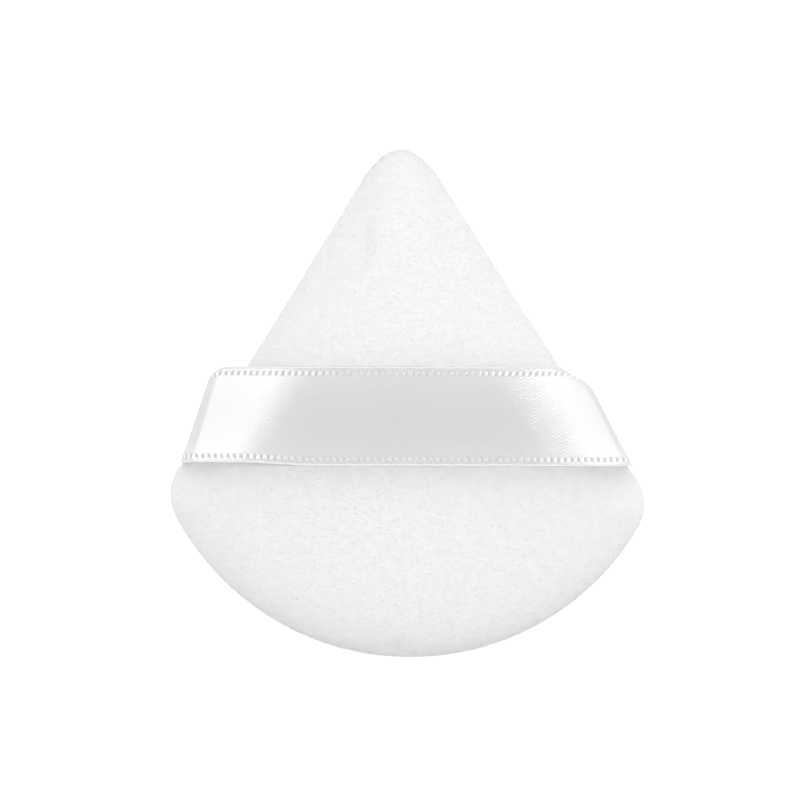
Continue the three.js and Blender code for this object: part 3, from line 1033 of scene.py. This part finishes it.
# Stage
# A pale floor under the puff, soft light from both sides and a camera straight above it, as for a
# catalogue picture.

FLOOR_REACH = 3000
PAPER_COLOUR = (0.8, 0.8, 0.8, 1)
PAPER_GLOW = 0.5

floor_corners = FLOOR_REACH * np.array([(-1, -1, 0), (1, -1, 0), (1, 1, 0), (-1, 1, 0)])
floor = new_piece("floor", floor_corners, [(0, 1, 2, 3)])
paper, tree, shader = new_material("paper")
set_inputs(tree, shader, {"Base Color": PAPER_COLOUR, "Roughness": 1, "Specular IOR Level": 0})


def shown(tree):
    """1 where the background is seen directly, in a gloss or through something clear."""
    rays = add(tree, "ShaderNodeLightPath").outputs
    seen = reckon(tree, "MAXIMUM", rays["Is Camera Ray"], rays["Is Glossy Ray"])
    return reckon(tree, "MAXIMUM", seen, rays["Is Transmission Ray"])


glow = add(tree, "ShaderNodeEmission", {"Strength": reckon(tree, "MULTIPLY", shown(tree), PAPER_GLOW)})
both = add(tree, "ShaderNodeAddShader", {0: shader.outputs[0], 1: glow.outputs[0]})
tree.links.new(both.outputs[0], tree.nodes["Material Output"].inputs["Surface"])
floor.data.materials.append(paper)

IMAGE = 800
PAD_PIXELS = 507
CAMERA_Z = 2.5
CENTRE_PIXEL = (406.5, 403)

camera = bpy.data.objects.new("camera", bpy.data.cameras.new("camera"))
bpy.context.scene.collection.objects.link(camera)
pixel = (TIP_Y - BASE_Y) * MM / PAD_PIXELS
camera.data.lens = camera.data.sensor_width * (CAMERA_Z - SEAM_Z * MM) / (pixel * IMAGE)
camera.location.x = (IMAGE / 2 - CENTRE_PIXEL[0]) * pixel
camera.location.y = (CENTRE_PIXEL[1] - IMAGE / 2) * pixel
camera.location.z = CAMERA_Z
bpy.context.scene.camera = camera

SOFTBOX_SIZE = (0.04, 1.5)
SOFTBOX_PLACE = (1.635, -0.004, 1.275)


def softbox(name, side, power):
    """A long narrow lamp on the right or the left of the puff, turned to face it."""
    lamp = bpy.data.lights.new(name, "AREA")
    lamp.shape = "RECTANGLE"
    lamp.size, lamp.size_y = SOFTBOX_SIZE
    lamp.energy = power
    holder = bpy.data.objects.new(name, lamp)
    bpy.context.scene.collection.objects.link(holder)
    holder.location = SOFTBOX_PLACE
    holder.location.x *= side
    holder.rotation_euler = (-holder.location).to_track_quat("-Z", "Y").to_euler()


softbox("right_softbox", 1, 18.2)
softbox("left_softbox", -1, 16.1)

SKY = (0.34, 0.84)  # from the side of the base to the side of the tip

world = bpy.data.worlds.new("studio")
world.use_nodes = True
bpy.context.scene.world = world
tree = world.node_tree
direction = add(tree, "ShaderNodeTexCoord").outputs["Generated"]
toward_tip = add(tree, "ShaderNodeSeparateXYZ", {0: direction}).outputs["Y"]
sky = ranged(tree, toward_tip, (-1, 1), SKY)
sky = add(tree, "ShaderNodeMix", {0: shown(tree), 2: sky, 3: 1.0}, data_type="FLOAT")
set_inputs(tree, tree.nodes["Background"], {"Color": (1, 1, 1, 1), "Strength": sky.outputs[0]})
bpy.context.scene.view_settings.view_transform = "Standard"
